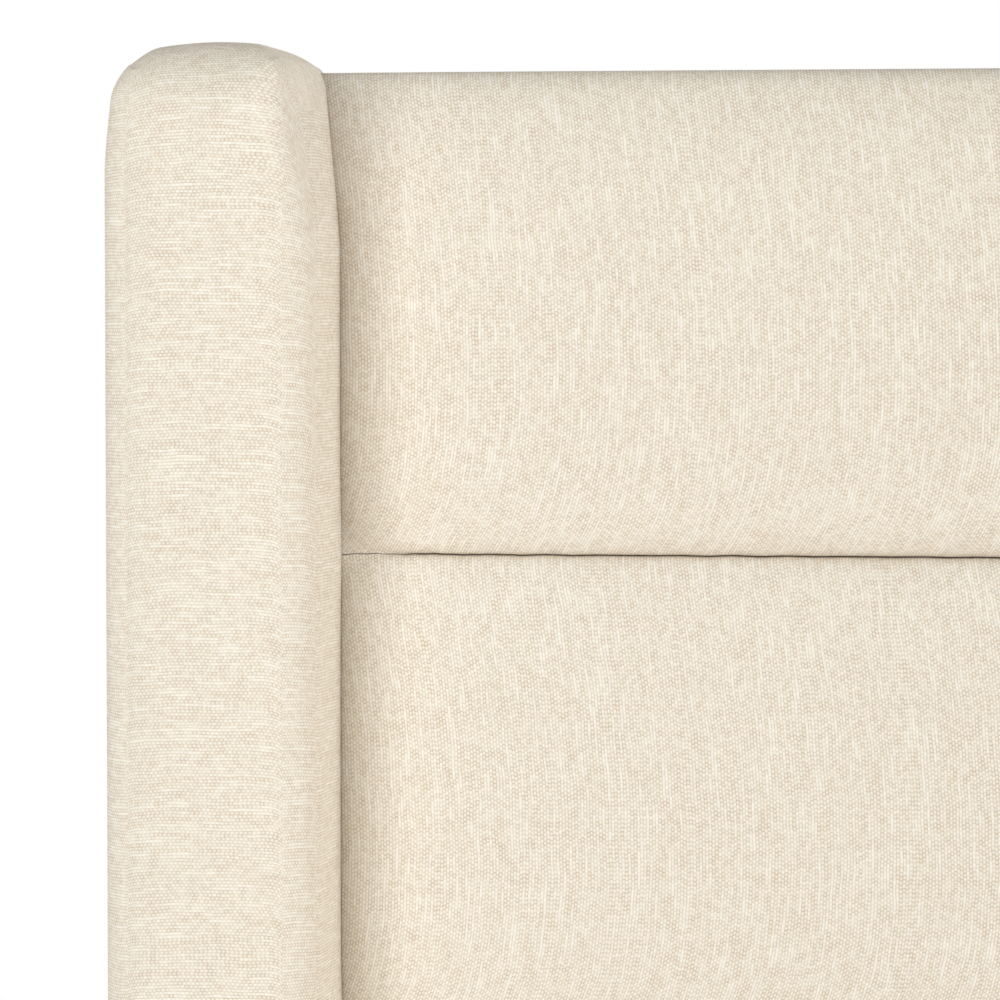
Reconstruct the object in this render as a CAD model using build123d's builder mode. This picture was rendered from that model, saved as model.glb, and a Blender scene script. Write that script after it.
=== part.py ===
"""A queen-size bed with a channelled headboard between padded wings.

Millimetres, +Z up. The origin is on the floor under the middle of the bed. The back of the
headboard is at +Y and the foot of the bed at -Y, so +X is the right hand of someone who stands
at the foot and looks at the headboard.
"""
import os

from build123d import *

os.makedirs("parts", exist_ok=True)

# Mattress that the bed takes, and the free room round it
mattress_width = 1524.0
mattress_length = 2032.0
mattress_side_gap = 8.0
mattress_end_gap = 10.0

# Legs
leg_height = 100.0
leg_top_width = 64.0
leg_foot_width = 48.0
glide_thickness = 6.0
glide_radius = 18.0
stud_radius = 4.0
stud_length = 60.0

# Side rails and foot rail: a board with padding outside, over the top and just inside
rail_height = 250.0
rail_board = 28.0
rail_pad = 22.0
foot_pad = 30.0
rail_top_pad = 12.0
lip_pad = 8.0
lip_above_slats = 10.0
rail_crown = 5.0
rail_round = 13.0
corner_block = 60.0

# Slats and what they lie on
slat_count = 12
slat_width = 89.0
slat_gap = 76.0
slat_thickness = 18.0
slat_end_gap = 2.0
mattress_recess = 60.0
cleat_width = 32.0
cleat_height = 40.0
strap_width = 30.0
strap_thickness = 1.6
strap_from_middle = 380.0

# Headboard
headboard_height = 1320.0
channel_count = 4
channel_height = 212.0
pad_crown = 55.0
pad_seam = 22.0
pad_round = 28.0
top_pad = 14.0
frame_thickness = 45.0
stile_width = 90.0
cross_rail_height = 110.0
front_board = 12.0
back_board = 5.0
lower_cover = 5.0

# Wings
wing_width = 103.0
wing_depth = 176.0
wing_core = 45.0
wing_front_pad = 30.0
wing_rise = 10.0
wing_gap = 2.0
wing_crown = 5.0
wing_round = 14.0
wing_arch = 12.0
wing_top_taper = 7.0
wing_taper_height = 80.0

# Hooked plates between the side rails and the ends of the bed
plate_thickness = 2.5
plate_width = 24.0
plate_height = 110.0
plate_above_legs = 80.0
hook_pitch = 56.0
hook_width = 4.0
hook_neck = 12.0
hook_drop = 10.0
hook_tip = 4.5
hook_entry = 16.0
plate_screw_pitch = 96.0

# Centre support with its two screw feet
centre_rail_width = 44.0
centre_rail_height = 70.0
hanger_plate = 3.0
hanger_length = 40.0
centre_leg_pitch = 700.0
tube_radius = 19.0
tube_wall = 2.0
leg_plate_thickness = 6.0
leg_plate_length = 90.0
plug_flange = 4.0
plug_depth = 24.0
plug_height = 41.0
foot_radius = 21.0
foot_thickness = 10.0
foot_socket = 6.0
foot_neck_radius = 12.0
stem_radius = 4.0
stem_length = 60.0
foot_travel = 15.0
stem_hex = 7.5
stem_hex_height = 6.0

# Screws and bolts
screw_radius = 1.75
screw_head_radius = 3.6
screw_head_height = 1.8
screw_length = 30.0
bolt_radius = 4.0
bolt_hex = 7.5
bolt_head_height = 5.5
bolts_in_bay = 2
insert_radius = 6.0
insert_length = 26.0

# Clearances
soft_gap = 0.3
seat_gap = 0.2
hole_gap = 0.2
running_gap = 0.05
cut_past = 1.0

# Places across the bed, from its middle
bay_half = mattress_width / 2 + mattress_side_gap
board_inner = bay_half + lip_pad
board_outer = board_inner + rail_board
rail_outer = board_outer + rail_pad
wing_inner = rail_outer + wing_gap
wing_outer = wing_inner + wing_width
wing_middle = (wing_inner + wing_outer) / 2
core_inner = wing_middle - wing_core / 2
core_outer = wing_middle + wing_core / 2
stile_inner = core_inner - stile_width
pad_half = wing_inner - soft_gap
plate_middle = (board_inner + board_outer) / 2

# Places along the bed
headboard_thickness = back_board + frame_thickness + front_board + pad_crown
foot_end_thickness = foot_pad + rail_board + lip_pad
bed_length = foot_end_thickness + mattress_length + 2 * mattress_end_gap + headboard_thickness
back_y = bed_length / 2
frame_back = back_y - back_board
board_back = frame_back - frame_thickness
board_front = board_back - front_board
cover_front = board_front - lower_cover
crown_front = board_front - pad_crown
seam_front = board_front - pad_seam
wing_front = back_y - wing_depth
core_front = wing_front + wing_front_pad
core_middle = (core_front + frame_back) / 2
foot_outer = -back_y
foot_board_outer = foot_outer + foot_pad
foot_board_inner = foot_board_outer + rail_board
foot_lip = foot_board_inner + lip_pad
plates_depth = 2 * plate_thickness + seat_gap
rail_foot_end = foot_board_inner + plates_depth
rail_head_end = board_front - plates_depth

# Heights
rail_top = leg_height + rail_height
board_top = rail_top - rail_top_pad
slat_top = rail_top - mattress_recess
slat_bottom = slat_top - slat_thickness
lip_bottom = slat_top + lip_above_slats
cleat_bottom = slat_bottom - cleat_height
centre_rail_bottom = slat_bottom - centre_rail_height
frame_top = headboard_height - top_pad
channels_bottom = headboard_height - channel_count * channel_height
wing_top = headboard_height + wing_rise
plate_z = leg_height + plate_above_legs
block_top = leg_height + corner_block

sides = (("left", -1), ("right", 1))
hook_heights = (plate_z - hook_pitch / 2, plate_z + hook_pitch / 2)
plate_screw_heights = (plate_z - plate_screw_pitch / 2, plate_z + plate_screw_pitch / 2)
cross_rail_tops = {
    "top": frame_top,
    "middle": (frame_top + slat_top + cross_rail_height) / 2,
    "bottom": slat_top,
}
bay_height = frame_top - cross_rail_tops["middle"] - cross_rail_height
bolt_steps = [bay_height * (k + 1) / (bolts_in_bay + 1) for k in range(bolts_in_bay)]
bolt_heights = [cross_rail_tops[below] + step for below in ("bottom", "middle") for step in bolt_steps]
slat_pitch = slat_width + slat_gap
slat_places = [slat_pitch * (k - (slat_count - 1) / 2) for k in range(slat_count)]
deck_middle = (foot_board_inner + cover_front) / 2
slat_half = board_inner - slat_end_gap
slat_screw_x = board_inner - cleat_width / 2
foot_leg_x = board_inner - corner_block / 3
foot_leg_y = foot_board_inner + corner_block / 3
leg_places = {
    "headboard_left": (-wing_middle, core_middle),
    "headboard_right": (wing_middle, core_middle),
    "foot_left": (-foot_leg_x, foot_leg_y),
    "foot_right": (foot_leg_x, foot_leg_y),
}
centre_leg_places = (-centre_leg_pitch / 2, centre_leg_pitch / 2)


def block(x_span, y_span, z_span, mode=Mode.ADD):
    """A box between two corners, in the part that is open."""
    spans = (x_span, y_span, z_span)
    with Locations(tuple(sum(span) / 2 for span in spans)):
        Box(*[abs(span[1] - span[0]) for span in spans], mode=mode)


def rod(start, towards, radius, length, mode=Mode.ADD):
    """A round bar from a point, in the part that is open."""
    with Locations(Plane(origin=start, z_dir=towards)):
        Cylinder(radius, length, align=(Align.CENTER, Align.CENTER, Align.MIN), mode=mode)


def hexagon(start, towards, radius, height):
    """A six-sided head from a point, in the part that is open."""
    with BuildSketch(Plane(origin=start, z_dir=towards)) as outline:
        RegularPolygon(radius, 6)
    extrude(outline.sketch, amount=height)


def screw(head, towards, gap=0.0, mode=Mode.ADD):
    """A countersunk screw with its flat head at a point, or with a gap its hole."""
    rod(head, towards, screw_radius + gap, screw_length + gap, mode)
    with Locations(Plane(origin=head, z_dir=towards)):
        Cone(
            screw_head_radius + gap,
            screw_radius + gap,
            screw_head_height,
            align=(Align.CENTER, Align.CENTER, Align.MIN),
            mode=mode,
        )


def plate_face(end, part):
    """Where a plate's outer face is and which way its screws go, at the head (1) or foot (-1)."""
    wall = board_front if end > 0 else foot_board_inner
    if part == "socket":
        return wall - end * plate_thickness, end
    return wall - end * (plate_thickness + seat_gap), -end


def hook_pocket(end, sign):
    """Room behind the socket plate for the two hooks of one rail end."""
    wall = board_front if end > 0 else foot_board_inner
    for z in hook_heights:
        block(
            (sign * plate_middle - hook_width, sign * plate_middle + hook_width),
            (wall - end * cut_past, wall + end * 2 * hook_tip),
            (z - hook_neck / 2 - hook_drop - cut_past, z + hook_neck / 2 + hook_entry),
            mode=Mode.SUBTRACT,
        )


def plate_screw_holes(end, sign, part):
    """Holes for the two screws of one plate."""
    y, towards = plate_face(end, part)
    for z in plate_screw_heights:
        screw((sign * plate_middle, y, z), (0, towards, 0), hole_gap, Mode.SUBTRACT)


# Headboard frame: two stiles, drilled for the wing bolts and recessed for the rail hooks
for side, sign in sides:
    with BuildPart() as stile:
        block((sign * stile_inner, sign * core_inner), (board_back, frame_back), (leg_height, frame_top))
        for z in bolt_heights:
            start = (sign * stile_inner, (board_back + frame_back) / 2, z)
            rod(start, (sign, 0, 0), bolt_radius + hole_gap, stile_width, Mode.SUBTRACT)
        plate_screw_holes(1, sign, "socket")
    stile.part.label = f"headboard_{side}_stile"
    export_step(stile.part, f"parts/headboard_{side}_stile.step")

# Headboard frame: three cross rails between the stiles
for name, top in cross_rail_tops.items():
    with BuildPart() as cross_rail:
        block((-stile_inner, stile_inner), (board_back, frame_back), (top - cross_rail_height, top))
    cross_rail.part.label = f"headboard_{name}_rail"
    export_step(cross_rail.part, f"parts/headboard_{name}_rail.step")

# Plywood that carries the padding, with the pockets for the rail hooks
with BuildPart() as headboard_front_board:
    block((-core_inner, core_inner), (board_front, board_back), (leg_height, frame_top))
    for side, sign in sides:
        hook_pocket(1, sign)
        plate_screw_holes(1, sign, "socket")
headboard_front_board.part.label = "headboard_front_board"
export_step(headboard_front_board.part, "parts/headboard_front_board.step")

# Covered board that closes the back, over the frame and both wing cores
with BuildPart() as headboard_back_board:
    block((-core_outer, core_outer), (frame_back, back_y), (leg_height, frame_top))
headboard_back_board.part.label = "headboard_back_board"
export_step(headboard_back_board.part, "parts/headboard_back_board.step")

# Padded channels: each is crowned between its seams and drawn in at both ends,
# and the first one goes on over the top of the frame
for k in range(channel_count):
    upper = headboard_height - k * channel_height
    lower = upper - channel_height + 2 * soft_gap
    wraps_over = k == 0
    rear = back_y if wraps_over else board_front
    rear_half = core_inner if wraps_over else pad_half
    shoulder_front = seam_front - pad_round
    past_crown = crown_front - soft_gap
    end_round = seam_front - past_crown
    with BuildPart() as channel_pad:
        with BuildSketch(Plane.YZ):
            with BuildLine():
                Line((board_front, lower), (seam_front, lower))
                TangentArc((seam_front, lower), (shoulder_front, lower + pad_round), tangent=(-1, 0))
                ThreePointArc(
                    (shoulder_front, lower + pad_round),
                    (crown_front, (upper + lower) / 2),
                    (shoulder_front, upper - pad_round),
                )
                TangentArc((shoulder_front, upper - pad_round), (seam_front, upper), tangent=(0, 1))
                if wraps_over:
                    Polyline((seam_front, upper), (rear, upper), (rear, frame_top), (board_front, frame_top))
                    Line((board_front, frame_top), (board_front, lower))
                else:
                    Line((seam_front, upper), (board_front, upper))
                    Line((board_front, upper), (board_front, lower))
            make_face()
        extrude(amount=rear_half, both=True)
        with BuildSketch(Plane.XY.offset(lower)):
            with BuildLine():
                for sign in (-1, 1):
                    Line((sign * pad_half, seam_front), (sign * pad_half, board_front))
                    if wraps_over:
                        Line((sign * pad_half, board_front), (sign * rear_half, board_front))
                        Line((sign * rear_half, board_front), (sign * rear_half, rear))
                Line((-rear_half, rear), (rear_half, rear))
                TangentArc((pad_half, seam_front), (pad_half - end_round, past_crown), tangent=(0, -1))
                Line((pad_half - end_round, past_crown), (-pad_half + end_round, past_crown))
                TangentArc((-pad_half + end_round, past_crown), (-pad_half, seam_front), tangent=(-1, 0))
            make_face()
        extrude(amount=channel_height, mode=Mode.INTERSECT)
    channel_pad.part.label = f"channel_pad_{k + 1}"
    export_step(channel_pad.part, f"parts/channel_pad_{k + 1}.step")

# Thin padded cover below the channels, cut out where the rail plates go through
with BuildPart() as headboard_lower_cover:
    block((-pad_half, pad_half), (cover_front, board_front), (leg_height, channels_bottom))
    for side, sign in sides:
        block(
            (sign * plate_middle - plate_width / 2 - cut_past, sign * plate_middle + plate_width / 2 + cut_past),
            (cover_front - cut_past, board_front + cut_past),
            (plate_z - plate_height / 2 - cut_past, plate_z + plate_height / 2 + cut_past),
            mode=Mode.SUBTRACT,
        )
headboard_lower_cover.part.label = "headboard_lower_cover"
export_step(headboard_lower_cover.part, "parts/headboard_lower_cover.step")

# Wings: a thick core bolted to the stile, in a padded sleeve with a gently arched top
for side, sign in sides:
    with BuildPart() as core:
        block((sign * core_inner, sign * core_outer), (core_front, frame_back), (leg_height, frame_top))
        for z in bolt_heights:
            start = (sign * core_inner, (board_back + frame_back) / 2, z)
            rod(start, (sign, 0, 0), insert_radius, insert_length, Mode.SUBTRACT)
            deep = insert_length + insert_radius
            rod(start, (sign, 0, 0), bolt_radius + hole_gap, deep, Mode.SUBTRACT)
        stud_foot = (sign * wing_middle, core_middle, leg_height)
        rod(stud_foot, (0, 0, 1), stud_radius + hole_gap, stud_length / 2 + hole_gap, Mode.SUBTRACT)
    core.part.label = f"wing_{side}_core"
    export_step(core.part, f"parts/wing_{side}_core.step")

    inner_edge = wing_inner + wing_crown
    outer_edge = wing_outer - wing_crown
    front_edge = wing_front + wing_crown / 2
    corner_y = front_edge + wing_round
    side_middle = (corner_y + board_front) / 2
    with BuildPart() as cover:
        with BuildSketch(Plane.XY.offset(leg_height)):
            with BuildLine():
                ThreePointArc(
                    (sign * inner_edge, board_front - soft_gap),
                    (sign * wing_inner, side_middle),
                    (sign * inner_edge, corner_y),
                )
                TangentArc(
                    (sign * inner_edge, corner_y),
                    (sign * (inner_edge + wing_round), front_edge),
                    tangent=(0, -1),
                )
                ThreePointArc(
                    (sign * (inner_edge + wing_round), front_edge),
                    (sign * wing_middle, wing_front),
                    (sign * (outer_edge - wing_round), front_edge),
                )
                TangentArc(
                    (sign * (outer_edge - wing_round), front_edge),
                    (sign * outer_edge, corner_y),
                    tangent=(sign, 0),
                )
                ThreePointArc(
                    (sign * outer_edge, corner_y),
                    (sign * wing_outer, side_middle),
                    (sign * outer_edge, back_y),
                )
                Polyline(
                    (sign * outer_edge, back_y),
                    (sign * (core_inner + soft_gap), back_y),
                    (sign * (core_inner + soft_gap), board_front - soft_gap),
                    (sign * inner_edge, board_front - soft_gap),
                )
            make_face()
        extrude(amount=wing_top - leg_height)
        with BuildSketch(Plane.XZ.offset(-back_y)):
            arch_foot = wing_top - wing_arch
            taper_foot = wing_top - wing_taper_height
            with BuildLine():
                Polyline(
                    (sign * (wing_inner + wing_top_taper), arch_foot),
                    (sign * wing_inner, taper_foot),
                    (sign * wing_inner, leg_height),
                    (sign * wing_outer, leg_height),
                    (sign * wing_outer, taper_foot),
                    (sign * (wing_outer - wing_top_taper), arch_foot),
                )
                ThreePointArc(
                    (sign * (wing_outer - wing_top_taper), arch_foot),
                    (sign * wing_middle, wing_top),
                    (sign * (wing_inner + wing_top_taper), arch_foot),
                )
            make_face()
        extrude(amount=wing_depth, mode=Mode.INTERSECT)
        with BuildSketch(Plane.YZ.offset(min(sign * wing_inner, sign * wing_outer))):
            with BuildLine():
                TangentArc(
                    (wing_front, wing_top - wing_front_pad),
                    (wing_front + wing_front_pad, wing_top),
                    tangent=(0, 1),
                )
                Polyline(
                    (wing_front + wing_front_pad, wing_top),
                    (back_y, wing_top),
                    (back_y, leg_height),
                    (wing_front, leg_height),
                    (wing_front, wing_top - wing_front_pad),
                )
            make_face()
        extrude(amount=wing_width, mode=Mode.INTERSECT)
        block(
            (sign * core_inner, sign * core_outer),
            (core_front, back_y + cut_past),
            (leg_height - cut_past, frame_top),
            mode=Mode.SUBTRACT,
        )
    cover.part.label = f"wing_{side}_cover"
    export_step(cover.part, f"parts/wing_{side}_cover.step")

# Bolts through the stiles into the wing cores, and the threaded inserts that take them
with BuildPart() as wing_bolts:
    for side, sign in sides:
        for z in bolt_heights:
            start = (sign * stile_inner, (board_back + frame_back) / 2, z)
            rod(start, (sign, 0, 0), bolt_radius, stile_width + insert_length)
            hexagon(start, (-sign, 0, 0), bolt_hex, bolt_head_height)
wing_bolts.part.label = "wing_bolts"
export_step(wing_bolts.part, "parts/wing_bolts.step")

with BuildPart() as wing_inserts:
    for side, sign in sides:
        for z in bolt_heights:
            start = (sign * core_inner, (board_back + frame_back) / 2, z)
            rod(start, (sign, 0, 0), insert_radius, insert_length)
            rod(start, (sign, 0, 0), bolt_radius + running_gap, insert_length, Mode.SUBTRACT)
wing_inserts.part.label = "wing_inserts"
export_step(wing_inserts.part, "parts/wing_inserts.step")

# Tapered wooden legs, each on a stud, with a nylon glide underneath
for name, (x, y) in leg_places.items():
    with BuildPart() as leg:
        with BuildSketch(Plane.XY.offset(glide_thickness)):
            with Locations((x, y)):
                Rectangle(leg_foot_width, leg_foot_width)
        with BuildSketch(Plane.XY.offset(leg_height)):
            with Locations((x, y)):
                Rectangle(leg_top_width, leg_top_width)
        loft()
        deep = stud_length / 2 + hole_gap
        rod((x, y, leg_height), (0, 0, -1), stud_radius + hole_gap, deep, Mode.SUBTRACT)
    leg.part.label = f"{name}_leg"
    export_step(leg.part, f"parts/{name}_leg.step")

with BuildPart() as leg_studs:
    for x, y in leg_places.values():
        rod((x, y, leg_height - stud_length / 2), (0, 0, 1), stud_radius, stud_length)
leg_studs.part.label = "leg_studs"
export_step(leg_studs.part, "parts/leg_studs.step")

with BuildPart() as leg_glides:
    for x, y in leg_places.values():
        rod((x, y, 0), (0, 0, 1), glide_radius, glide_thickness)
leg_glides.part.label = "leg_glides"
export_step(leg_glides.part, "parts/leg_glides.step")

# Side rails: board, padding over it, and the cleat that the slats lie on
for side, sign in sides:
    with BuildPart() as rail:
        block((sign * board_inner, sign * board_outer), (rail_foot_end, rail_head_end), (leg_height, board_top))
        plate_screw_holes(1, sign, "hook")
        plate_screw_holes(-1, sign, "hook")
    rail.part.label = f"side_rail_{side}_board"
    export_step(rail.part, f"parts/side_rail_{side}_board.step")

    with BuildPart() as pad:
        with BuildSketch(Plane.XZ.offset(soft_gap - cover_front)):
            crown_edge = rail_outer - rail_crown
            with BuildLine():
                Polyline(
                    (sign * (crown_edge - rail_round / 2), leg_height),
                    (sign * board_outer, leg_height),
                    (sign * board_outer, board_top),
                    (sign * board_inner, board_top),
                    (sign * board_inner, lip_bottom),
                    (sign * bay_half, lip_bottom),
                    (sign * bay_half, rail_top - rail_round),
                )
                TangentArc(
                    (sign * bay_half, rail_top - rail_round),
                    (sign * (bay_half + rail_round), rail_top),
                    tangent=(0, 1),
                )
                Line((sign * (bay_half + rail_round), rail_top), (sign * (crown_edge - rail_round), rail_top))
                TangentArc(
                    (sign * (crown_edge - rail_round), rail_top),
                    (sign * crown_edge, rail_top - rail_round),
                    tangent=(sign, 0),
                )
                ThreePointArc(
                    (sign * crown_edge, rail_top - rail_round),
                    (sign * rail_outer, (rail_top + leg_height) / 2),
                    (sign * (crown_edge - rail_round / 2), leg_height),
                )
            make_face()
        extrude(amount=cover_front - foot_board_inner - 2 * soft_gap)
    pad.part.label = f"side_rail_{side}_pad"
    export_step(pad.part, f"parts/side_rail_{side}_pad.step")

    with BuildPart() as cleat:
        block(
            (sign * board_inner, sign * (board_inner - cleat_width)),
            (rail_foot_end, rail_head_end - seat_gap),
            (cleat_bottom, slat_bottom),
        )
        for y in slat_places:
            screw((sign * slat_screw_x, deck_middle + y, slat_top), (0, 0, -1), hole_gap, Mode.SUBTRACT)
    cleat.part.label = f"side_rail_{side}_cleat"
    export_step(cleat.part, f"parts/side_rail_{side}_cleat.step")

# Foot rail: board, padding with rounded corners, and a block in each corner for the legs
with BuildPart() as foot_rail_board:
    block((-board_outer, board_outer), (foot_board_outer, foot_board_inner), (leg_height, board_top))
    for side, sign in sides:
        hook_pocket(-1, sign)
        plate_screw_holes(-1, sign, "socket")
foot_rail_board.part.label = "foot_rail_board"
export_step(foot_rail_board.part, "parts/foot_rail_board.step")

with BuildPart() as foot_rail_pad:
    with BuildSketch(Plane.YZ):
        crown_edge = foot_outer + rail_crown
        with BuildLine():
            Polyline(
                (crown_edge + rail_round / 2, leg_height),
                (foot_board_outer, leg_height),
                (foot_board_outer, board_top),
                (foot_board_inner, board_top),
                (foot_board_inner, lip_bottom),
                (foot_lip, lip_bottom),
                (foot_lip, rail_top - rail_round),
            )
            TangentArc((foot_lip, rail_top - rail_round), (foot_lip - rail_round, rail_top), tangent=(0, 1))
            Line((foot_lip - rail_round, rail_top), (crown_edge + rail_round, rail_top))
            TangentArc((crown_edge + rail_round, rail_top), (crown_edge, rail_top - rail_round), tangent=(-1, 0))
            ThreePointArc(
                (crown_edge, rail_top - rail_round),
                (foot_outer, (rail_top + leg_height) / 2),
                (crown_edge + rail_round / 2, leg_height),
            )
        make_face()
    extrude(amount=rail_outer, both=True)
    # The padding goes round the ends of the board, as far as the side rails' own padding
    for side, sign in sides:
        block(
            (sign * board_outer, sign * rail_outer),
            (foot_board_outer, foot_board_inner),
            (leg_height, board_top),
        )
        block(
            (sign * (bay_half - soft_gap), sign * (rail_outer + cut_past)),
            (foot_board_inner, foot_lip + cut_past),
            (leg_height, rail_top + cut_past),
            mode=Mode.SUBTRACT,
        )
    with BuildSketch(Plane.XY.offset(leg_height)):
        with BuildLine():
            Polyline(
                (-rail_outer, foot_outer + foot_pad),
                (-rail_outer, foot_lip),
                (rail_outer, foot_lip),
                (rail_outer, foot_outer + foot_pad),
            )
            TangentArc(
                (rail_outer, foot_outer + foot_pad),
                (rail_outer - foot_pad, foot_outer),
                tangent=(0, -1),
            )
            Line((rail_outer - foot_pad, foot_outer), (-rail_outer + foot_pad, foot_outer))
            TangentArc(
                (-rail_outer + foot_pad, foot_outer),
                (-rail_outer, foot_outer + foot_pad),
                tangent=(-1, 0),
            )
        make_face()
    extrude(amount=rail_height, mode=Mode.INTERSECT)
foot_rail_pad.part.label = "foot_rail_pad"
export_step(foot_rail_pad.part, "parts/foot_rail_pad.step")

with BuildPart() as corner_blocks:
    for side, sign in sides:
        block(
            (sign * board_inner, sign * (board_inner - corner_block)),
            (foot_board_inner, foot_board_inner + corner_block),
            (leg_height, block_top),
        )
        stud_foot = (sign * foot_leg_x, foot_leg_y, leg_height)
        rod(stud_foot, (0, 0, 1), stud_radius + hole_gap, stud_length / 2 + hole_gap, Mode.SUBTRACT)
corner_blocks.part.label = "corner_blocks"
export_step(corner_blocks.part, "parts/corner_blocks.step")

# Steel plates: sockets on the headboard and foot board, hooks on the ends of the side rails
plate_spots = [(end, sign) for end in (1, -1) for side, sign in sides]
with BuildPart() as rail_socket_plates:
    for end, sign in plate_spots:
        face, towards = plate_face(end, "socket")
        x = sign * plate_middle
        block(
            (x - plate_width / 2, x + plate_width / 2),
            (face, face + towards * plate_thickness),
            (plate_z - plate_height / 2, plate_z + plate_height / 2),
        )
        for z in hook_heights:
            block(
                (x - hook_width / 2 - seat_gap, x + hook_width / 2 + seat_gap),
                (face - towards * cut_past, face + towards * (plate_thickness + cut_past)),
                (z - hook_neck / 2, z + hook_neck / 2 + hook_entry),
                mode=Mode.SUBTRACT,
            )
        plate_screw_holes(end, sign, "socket")
rail_socket_plates.part.label = "rail_socket_plates"
export_step(rail_socket_plates.part, "parts/rail_socket_plates.step")

with BuildPart() as rail_hook_plates:
    for end, sign in plate_spots:
        face, towards = plate_face(end, "hook")
        x = sign * plate_middle
        block(
            (x - plate_width / 2, x + plate_width / 2),
            (face, face + towards * plate_thickness),
            (plate_z - plate_height / 2, plate_z + plate_height / 2),
        )
        behind = face - towards * (plate_thickness + 2 * seat_gap)
        tip = behind - towards * hook_tip
        for z in hook_heights:
            x_span = (x - hook_width / 2, x + hook_width / 2)
            block(x_span, (face, tip), (z - hook_neck / 2, z + hook_neck / 2))
            block(x_span, (behind, tip), (z - hook_neck / 2 - hook_drop, z))
        plate_screw_holes(end, sign, "hook")
rail_hook_plates.part.label = "rail_hook_plates"
export_step(rail_hook_plates.part, "parts/rail_hook_plates.step")

with BuildPart() as plate_screws:
    for end, sign in plate_spots:
        for part in ("socket", "hook"):
            face, towards = plate_face(end, part)
            for z in plate_screw_heights:
                screw((sign * plate_middle, face, z), (0, towards, 0))
plate_screws.part.label = "plate_screws"
export_step(plate_screws.part, "parts/plate_screws.step")

# Slats, screwed down at both ends, and the two webbing straps under them
for k, y in enumerate(slat_places):
    with BuildPart() as slat:
        middle = deck_middle + y
        block(
            (-slat_half, slat_half),
            (middle - slat_width / 2, middle + slat_width / 2),
            (slat_bottom, slat_top),
        )
        for side, sign in sides:
            screw((sign * slat_screw_x, middle, slat_top), (0, 0, -1), hole_gap, Mode.SUBTRACT)
    slat.part.label = f"slat_{k + 1:02d}"
    export_step(slat.part, f"parts/slat_{k + 1:02d}.step")

with BuildPart() as slat_screws:
    for y in slat_places:
        for side, sign in sides:
            screw((sign * slat_screw_x, deck_middle + y, slat_top), (0, 0, -1))
slat_screws.part.label = "slat_screws"
export_step(slat_screws.part, "parts/slat_screws.step")

with BuildPart() as slat_straps:
    strap_half = slat_places[-1] + slat_width / 2
    for side, sign in sides:
        x = sign * strap_from_middle
        block(
            (x - strap_width / 2, x + strap_width / 2),
            (deck_middle - strap_half, deck_middle + strap_half),
            (slat_bottom - strap_thickness, slat_bottom),
        )
slat_straps.part.label = "slat_straps"
export_step(slat_straps.part, "parts/slat_straps.step")

# Centre rail in two steel hangers, on two steel legs
hanger_ends = ((foot_board_inner, 1), (cover_front, -1))
with BuildPart() as centre_rail:
    block(
        (-centre_rail_width / 2, centre_rail_width / 2),
        (foot_board_inner + hanger_plate, cover_front - hanger_plate),
        (centre_rail_bottom, slat_bottom),
    )
centre_rail.part.label = "centre_rail"
export_step(centre_rail.part, "parts/centre_rail.step")

with BuildPart() as centre_rail_hangers:
    cheek_inner = centre_rail_width / 2 + seat_gap
    cheek_outer = cheek_inner + hanger_plate
    shelf_bottom = centre_rail_bottom - hanger_plate
    cheek_top = slat_bottom - cleat_height / 2
    for wall, out in hanger_ends:
        block((-cheek_outer, cheek_outer), (wall, wall + out * hanger_plate), (shelf_bottom, cheek_top))
        block((-cheek_outer, cheek_outer), (wall, wall + out * hanger_length), (shelf_bottom, centre_rail_bottom))
        for side, sign in sides:
            block(
                (sign * cheek_inner, sign * cheek_outer),
                (wall, wall + out * hanger_length),
                (shelf_bottom, cheek_top),
            )
centre_rail_hangers.part.label = "centre_rail_hangers"
export_step(centre_rail_hangers.part, "parts/centre_rail_hangers.step")

tube_top = centre_rail_bottom - leg_plate_thickness
tube_bottom = plug_height + plug_flange
stem_foot = foot_thickness - foot_socket + seat_gap
collar_top = plug_height - foot_travel - soft_gap
for k, y in enumerate(centre_leg_places):
    with BuildPart() as centre_leg:
        rod((0, y, tube_bottom), (0, 0, 1), tube_radius, tube_top - tube_bottom)
        rod((0, y, tube_bottom), (0, 0, 1), tube_radius - tube_wall, tube_top - tube_bottom, Mode.SUBTRACT)
        block(
            (-centre_rail_width / 2, centre_rail_width / 2),
            (y - leg_plate_length / 2, y + leg_plate_length / 2),
            (tube_top, centre_rail_bottom),
        )
    centre_leg.part.label = f"centre_leg_{k + 1}"
    export_step(centre_leg.part, f"parts/centre_leg_{k + 1}.step")

    # The screw foot turns in the plug: it stands turned down to the floor and can be turned back up to its collar
    with BuildPart() as leveller_stem:
        rod((0, y, stem_foot), (0, 0, 1), stem_radius, stem_length)
        hexagon((0, y, collar_top - stem_hex_height), (0, 0, 1), stem_hex, stem_hex_height)
    leveller_stem.part.label = f"leveller_stem_{k + 1}"
    export_step(leveller_stem.part, f"parts/leveller_stem_{k + 1}.step")

    with BuildPart() as leveller_pad:
        rod((0, y, 0), (0, 0, 1), foot_radius, foot_thickness / 2)
        rod((0, y, 0), (0, 0, 1), foot_neck_radius, foot_thickness)
        socket_floor = (0, y, foot_thickness - foot_socket)
        rod(socket_floor, (0, 0, 1), stem_radius + running_gap, foot_socket, Mode.SUBTRACT)
    leveller_pad.part.label = f"leveller_pad_{k + 1}"
    export_step(leveller_pad.part, f"parts/leveller_pad_{k + 1}.step")

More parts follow.
